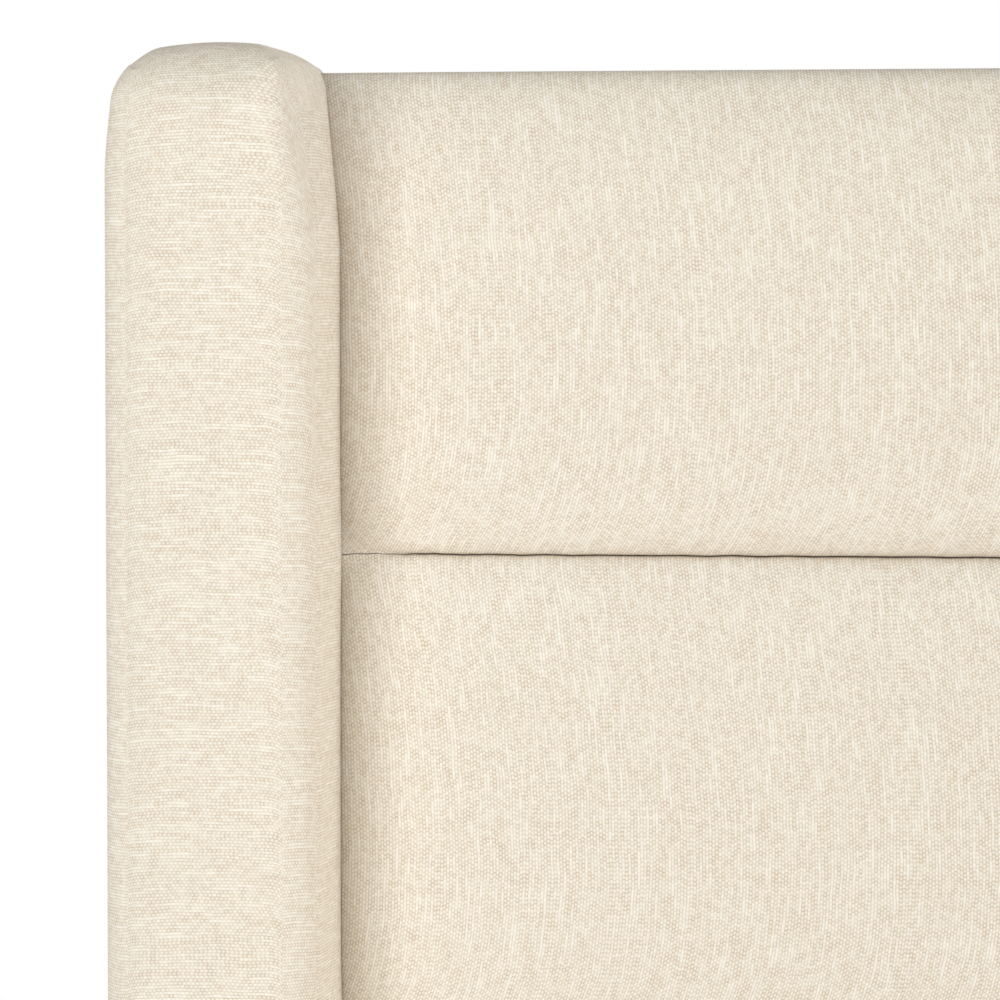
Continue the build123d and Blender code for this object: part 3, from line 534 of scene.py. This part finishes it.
# Back of the headboard: a thin board in the same cloth, drawn tight and closed over the frame with a soft edge
low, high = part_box("headboard_back_board")
x = dense_at_ends(low.x, high.x, 81)
z = dense_at_ends(low.z + 0.0004, high.z - 0.0002, 61)
fx, fz = np.meshgrid(x, z)
edge = np.minimum.reduce([fx - low.x, high.x - fx, fz - z[0], z[-1] - fz])
round_off = 0.0032 * (1 - np.sqrt(np.clip(1 - (1 - np.clip(edge / 0.0045, 0, 1)) ** 2, 0, 1)))
rear = np.stack([fx, high.y + 0.0006 - round_off, fz], axis=2)
places = np.stack([fx + 4.3, fz], axis=2)
lining = np.stack([fx, np.full_like(fx, low.y + 0.0004), fz], axis=2)
rim = []
for edge in ((0,), (-1,), (slice(None), 0), (slice(None), -1)):
    rim.append((np.stack([rear[edge], lining[edge]]), np.stack([places[edge], places[edge] + 0.004])))
back_cover = skin("headboard_back", [(rear, places), (lining, places)] + rim, cream)
hold(back_cover, 0.9, "headboard_back_board")

# Legs: turned-down square tapers of beech, stained dark and varnished, each on a steel stud with a nylon glide.
# The stain lets the grain through, and the varnish gives a low satin gloss.
stained = timber("stained_beech", "4A2E1D", "2B1810", 0.003, "z", 0.36, pore=0.3)
dress(stained, "headboard_left_leg", "headboard_right_leg", "foot_left_leg", "foot_right_leg")

# Black nylon, moulded: even, faintly pebbled and satin, for the glides, leg plugs and screw-foot pads
nylon, tree, shader = finish_named("black_moulded_nylon")
where = add(tree, "ShaderNodeTexCoord").outputs["Object"]
pebbled = add(tree, "ShaderNodeTexNoise", {"Vector": where, "Scale": 1 / 0.0008, "Detail": 2.0})
tone = blend(tree, pebbled, "1B1B1C", "2A2A2B")
gloss = add(tree, "ShaderNodeMapRange", {"Value": pebbled, "To Min": 0.4, "To Max": 0.6})
relief = add(tree, "ShaderNodeBump", {"Height": pebbled, "Strength": 0.25, "Distance": 0.0002})
coat(tree, shader, tone, relief, gloss)
dress(nylon, "leg_glides", "centre_leg_plugs", "leveller_pad_1", "leveller_pad_2")

# Side rails: pine boards with slat cleats, hooked to the headboard and the foot board.
# Foam and cover cloth go over the outer face and the top, and end in a lip just inside.
dress(pine["y"], "side_rail_left_board", "side_rail_right_board", "side_rail_left_cleat", "side_rail_right_cleat")
rail_bulge, rail_round, lip_round, lip_depth, end_round = 0.006, 0.015, 0.012, 0.038, 0.02
quarter = np.linspace(0, math.pi / 2, 8)


def rail_section(board_in, board_out, lip, outer, foot, top, lip_foot, board_top):
    """Outline of a padded rail, outwards and up: up the face, over the top, down the lip and back inside."""
    face_z = np.linspace(foot, top - rail_round, 26)
    belly = 1 - ((face_z - foot) / (top - rail_round - foot) * 2 - 1) ** 2
    face = outer - rail_bulge * (1 - belly ** 0.7) - 0.005 * np.clip(1 - (face_z - foot) / 0.012, 0, 1) ** 2
    roll_out = outer - rail_bulge
    roll = [(roll_out - rail_round * (1 - math.cos(a)), top - rail_round * (1 - math.sin(a))) for a in quarter[1:]]
    flat = [(c, top) for c in np.linspace(roll[-1][0], lip + lip_round, 8)[1:-1]]
    fold = [(lip + lip_round * (1 - math.sin(a)), top - lip_round * (1 - math.cos(a))) for a in quarter]
    inside = [(lip, c) for c in np.linspace(top - lip_round, lip_foot, 5)[1:]]
    board_in, board_out, board_top = board_in + 0.0002, board_out + clear, board_top + clear
    rest = [(board_in, lip_foot), (board_in, board_top), (board_out, board_top), (board_out, foot)]
    return np.array([(board_out, foot)] + list(zip(face, face_z)) + roll + flat + fold + inside + rest)


for side, sign in (("left", -1), ("right", 1)):
    low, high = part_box(f"side_rail_{side}_pad")
    board_low, board_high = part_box(f"side_rail_{side}_board")
    lip, outer = sorted((abs(low.x), abs(high.x)))
    board_in, board_out = sorted((abs(board_low.x), abs(board_high.x)))
    board_top = board_high.z
    outline = rail_section(board_in, board_out, lip, outer, low.z + 0.0005, high.z, board_top - lip_depth, board_top)
    closer = np.linspace(0, math.pi / 2, 7)
    foot_end, head_end = low.y + end_round, high.y - end_round
    between = np.linspace(foot_end, head_end, 80)[1:-1]
    y = np.concatenate([low.y + end_round * (1 - np.cos(closer)), between, head_end + end_round * np.sin(closer)])
    from_end = high.y - y
    draw = 0.0025 * (1 - np.sqrt(np.clip(1 - (1 - np.clip(from_end / 0.012, 0, 1)) ** 2, 0, 1)))
    outward = np.clip((outline[:, 0] - board_out) / (outer - board_out), 0, 1)
    upward = np.clip((outline[:, 1] - board_high.z) / (high.z - board_high.z), 0, 1)
    grid = np.empty((len(outline), len(y), 3))
    grid[..., 0] = sign * (outline[:, 0][:, None] - draw[None, :] * outward[:, None])
    grid[..., 1] = y[None, :]
    grid[..., 2] = outline[:, 1][:, None] - draw[None, :] * upward[:, None]
    length = np.concatenate([[0], np.cumsum(np.hypot(*np.diff(outline, axis=0).T))])
    places = np.stack(np.broadcast_arrays(y[None, :] + 6.1 + sign, length[:, None]), axis=2)
    rail = skin(f"side_rail_{side}", [(grid, places)], cream, close=True)
    hold(rail, 0.8, f"side_rail_{side}_pad")

# Foot rail: a pine board in the same padding, which turns round both corners to meet the side rails.
# A pine block in each corner takes the leg's stud.
dress(pine["x"], "foot_rail_board")
dress(pine["z"], "corner_blocks")
low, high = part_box("foot_rail_pad")
board_low, board_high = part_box("foot_rail_board")
corner = 0.03
lip_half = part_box("side_rail_right_pad")[0].x - 0.0004
board_top, foot_z, butt = board_high.z, low.z + 0.0005, board_high.y - 0.0004
outline = rail_section(-board_high.y, -board_low.y, -high.y, -low.y, foot_z, high.z, board_top - lip_depth, board_top)
arc = np.linspace(0, math.pi / 2, 13)
along_x = np.linspace(low.x + corner, high.x - corner, 110)[1:-1]
side_y = np.linspace(butt, low.y + corner, 6)[:-1]
still, level = np.ones(len(side_y)), np.ones(len(along_x))
# In plan: along the left return, round its corner, along the foot, round the other corner and along the right return
turn_x, turn_y = low.x + corner * (1 - np.cos(arc)), low.y + corner * (1 - np.sin(arc))
far_x = high.x - corner * (1 - np.cos(arc[::-1]))
outer_x = np.concatenate([still * low.x, turn_x, along_x, far_x, still * high.x])
outer_y = np.concatenate([side_y, turn_y, level * low.y, turn_y[::-1], side_y[::-1]])
normal_x = np.concatenate([-still, -np.cos(arc), 0 * level, np.cos(arc[::-1]), still])
normal_y = np.concatenate([0 * still, -np.sin(arc), -level, -np.sin(arc[::-1]), 0 * still])
turned, beside = np.abs(normal_x) > 0.01, np.abs(outer_x) > lip_half
around = np.concatenate([[0], np.cumsum(np.hypot(np.diff(outer_x), np.diff(outer_y)))])
turning = np.clip(np.minimum(around, around[-1] - around) / around[len(side_y) + len(arc) - 1], 0, 1)
rows, placed = [], []
lengths = np.concatenate([[0], np.cumsum(np.hypot(*np.diff(outline, axis=0).T))])
roll_end = int(np.argmax(outline[:, 1] >= high.z - 1e-9))
roll_top = outline[roll_end, 0]
rim = -low.y - roll_top
start_x, start_y = outer_x - normal_x * rim, outer_y - normal_y * rim
stop_x = np.where(turned, np.sign(outer_x) * (high.x - rim + (rim - corner) * turning), outer_x)
stop_y = np.where(beside, butt, high.y)
lip_start = len(outline) - 5
for k, (out, height) in enumerate(outline):
    inset = -low.y - out
    px, py = outer_x - normal_x * inset, outer_y - normal_y * inset
    if k > roll_end:
        # Inwards of the roll, the rows close up on the lip between the side rails, or on their ends beside it
        share = np.clip((roll_top - out) / (roll_top + high.y), 0, 1)
        px, py = start_x + (stop_x - start_x) * share, start_y + (stop_y - start_y) * share
        if k >= lip_start:
            px, py = stop_x, np.where(beside, butt, -out)
    if k == 0 or k >= len(outline) - 2:
        px, py = np.clip(outer_x, board_low.x - clear, board_high.x + clear), np.maximum(outer_y, board_low.y - clear)
    # On the returns the padding stays full up to the side rails' ends
    drop = np.where(beside & (roll_end < k < lip_start - 3), 0.25, 1.0)
    rows.append(np.stack([px, py, high.z - (high.z - height) * drop], axis=1))
    placed.append(np.stack([around + 9.7, np.full_like(around, lengths[k])], axis=1))
foot = skin("foot_rail", [(np.array(rows), np.array(placed))], cream, close=True)
hold(foot, 0.8, "foot_rail_pad")

# Slats: twelve boards of sawn poplar, lightly planed, screwed to the cleats at both ends
poplar = timber("planed_poplar", "E9D7B4", "CDB184", 0.006, "x", 0.66)
slats = [f"slat_{number:02d}" for number in range(1, 13)]
dress(poplar, *slats)

# Straps: polypropylene webbing, woven flat in a 2.2 mm rib and stapled under every slat, which keeps their spacing
rib_pitch, warp_pitch = 0.0022, 0.0028
webbing, tree, shader = finish_named("ribbed_webbing")
cloth = add(tree, "ShaderNodeUVMap", uv_map="cloth")
flat = add(tree, "ShaderNodeSeparateXYZ", {0: cloth})
ribs = reckon(tree, "SINE", reckon(tree, "MULTIPLY", flat.outputs[1], 2 * math.pi / rib_pitch))
warps = reckon(tree, "SINE", reckon(tree, "MULTIPLY", flat.outputs[0], 2 * math.pi / warp_pitch))
woven = reckon(tree, "MULTIPLY", ribs, warps)
shade = add(tree, "ShaderNodeMapRange", {"Value": woven, "From Min": -1.0, "From Max": 1.0})
tone = blend(tree, shade, "A8A294", "D2CCBC")
relief = add(tree, "ShaderNodeBump", {"Height": woven, "Strength": 0.5, "Distance": 0.0003})
coat(tree, shader, tone, relief, 0.75)
low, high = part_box("slat_straps")
slat_pitch, slat_half, strap_width = 0.165, 0.0445, 0.03
for side, sign in (("left", -1), ("right", 1)):
    y = np.linspace(low.y, high.y, 230)
    from_slat = np.abs(((y - low.y - slat_half) / slat_pitch + 0.5) % 1 - 0.5) * slat_pitch
    hang = np.clip(from_slat, slat_half, None)
    sag = 0.0016 * np.sin(math.pi * np.clip((hang - slat_half) / (slat_pitch - 2 * slat_half), 0, 0.5))
    x = sign * (high.x - strap_width / 2) + np.linspace(-strap_width / 2, strap_width / 2, 7)
    fx, fy = np.meshgrid(x, y)
    grid = np.stack([fx, fy, np.repeat((high.z - 0.0008 - sag)[:, None], 7, axis=1)], axis=2)
    strap = skin(f"slat_strap_{side}", [(grid, np.stack([fx, fy], axis=2))], webbing)
    thick = strap.modifiers.new("weave", "SOLIDIFY")
    thick.thickness, thick.offset = 0.0014, 0.0
    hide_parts("slat_straps")
    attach(strap, "bed_frame")

# Centre rail: pine on edge in two steel hangers, on two steel tube legs, powder coated black.
# The coating is even and satin with a very fine orange-peel.
dress(pine["y"], "centre_rail")
black, tree, shader = finish_named("black_powder_coat")
where = add(tree, "ShaderNodeTexCoord").outputs["Object"]
peel = add(tree, "ShaderNodeTexNoise", {"Vector": where, "Scale": 1 / 0.0011, "Detail": 2.0})
tone = blend(tree, peel, "161617", "222223")
relief = add(tree, "ShaderNodeBump", {"Height": peel, "Strength": 0.3, "Distance": 0.0002})
coat(tree, shader, tone, relief, 0.42)
dress(black, "centre_leg_1", "centre_leg_2")

# Floor: a wide pale sheet that keeps the bed's shadow and fades to white far out


def seen_or_mirrored(tree):
    """1 for rays that come from the camera, straight or by way of gloss or glass."""
    path = add(tree, "ShaderNodeLightPath")
    seen = reckon(tree, "MAXIMUM", path.outputs["Is Camera Ray"], path.outputs["Is Glossy Ray"])
    return reckon(tree, "MAXIMUM", seen, path.outputs["Is Transmission Ray"])


floor_mesh = bpy.data.meshes.new("floor")
work = bmesh.new()
bmesh.ops.create_circle(work, cap_ends=True, segments=96, radius=40.0)
work.to_mesh(floor_mesh)
work.free()
floor = bpy.data.objects.new("floor", floor_mesh)
bpy.context.scene.collection.objects.link(floor)
floor.location.z = -0.0002
pale_floor, tree, shader = finish_named("pale_floor")
shader.inputs["Base Color"].default_value = linear("F4F3F1")
shader.inputs["Roughness"].default_value = 0.9
shader.inputs["Specular IOR Level"].default_value = 0.0
where = add(tree, "ShaderNodeTexCoord").outputs["Object"]
reach = add(tree, "ShaderNodeVectorMath", {0: where}, operation="LENGTH")
fade = ease(tree, Value=reach.outputs["Value"], From_Min=2.0, From_Max=5.5)
lifted = add(tree, "ShaderNodeMapRange", {"Value": fade, "To Min": 0.5})
white_share = reckon(tree, "MULTIPLY", lifted, seen_or_mirrored(tree))
glow = add(tree, "ShaderNodeEmission", {"Color": (1, 1, 1, 1), "Strength": 1.0})
surface = add(tree, "ShaderNodeMixShader", {0: white_share, 1: shader, 2: glow})
tree.links.new(surface.outputs[0], tree.nodes["Material Output"].inputs["Surface"])
floor_mesh.materials.append(pale_floor)

# Light: a white room, less bright overhead and to the left, with a large soft lamp in front and two far off,
# on the right and behind
world = bpy.data.worlds.new("white_studio")
bpy.context.scene.world = world
world.use_nodes = True
tree = world.node_tree
mirrored = seen_or_mirrored(tree)
aim = add(tree, "ShaderNodeSeparateXYZ", {0: add(tree, "ShaderNodeTexCoord").outputs["Generated"]})
room = add(tree, "ShaderNodeMapRange", {"Value": aim.outputs[2], "To Min": 0.57, "To Max": 0.24})
fuller = reckon(tree, "MULTIPLY_ADD", aim.outputs[0], 0.07, room)
level = add(tree, "ShaderNodeMix", {0: mirrored, 2: fuller, 3: 1.0}, data_type="FLOAT")
tint = blend(tree, mirrored, "FFFCF6", "FFFFFF")
tree.links.new(level.outputs[0], tree.nodes["Background"].inputs["Strength"])
tree.links.new(tint, tree.nodes["Background"].inputs["Color"])
lamps = (
    ("soft_front", 108.0, 2.4, (-2.4, -2.96, 1.45), "FFFFFF"),
    ("soft_right", 560.0, 3.5, (11.0, -1.2, 1.6), "FFFFFF"),
    ("soft_rear", 235.0, 3.0, (1.0, 9.0, 2.4), "FFF8EC"),
)
lit_spot = Vector((-0.7, 1.0, 1.1))
for name, watts, width, place, tone in lamps:
    lamp_data = bpy.data.lights.new(name, "AREA")
    lamp_data.shape = "RECTANGLE"
    lamp_data.size, lamp_data.size_y, lamp_data.energy = width, width, watts
    lamp_data.color = linear(tone)[:3]
    lamp = bpy.data.objects.new(name, lamp_data)
    bpy.context.scene.collection.objects.link(lamp)
    lamp.location = place
    lamp.visible_camera = False
    lamp.rotation_euler = (lit_spot - lamp.location).to_track_quat("-Z", "Y").to_euler()

# Camera: a long lens close to the upper left corner of the headboard
camera_data = bpy.data.cameras.new("camera")
camera_data.sensor_width = 36.0
camera_data.lens = 147.69
camera_data.clip_start = 0.05
camera = bpy.data.objects.new("camera", camera_data)
bpy.context.scene.collection.objects.link(camera)
camera.location = (-0.5635, -0.7665, 1.2104)
camera.rotation_euler = (math.radians(90 - 2.493), 0.0, math.radians(6.397))
bpy.context.scene.camera = camera
bpy.context.scene.view_settings.view_transform = "Standard"

bpy.context.view_layer.update()
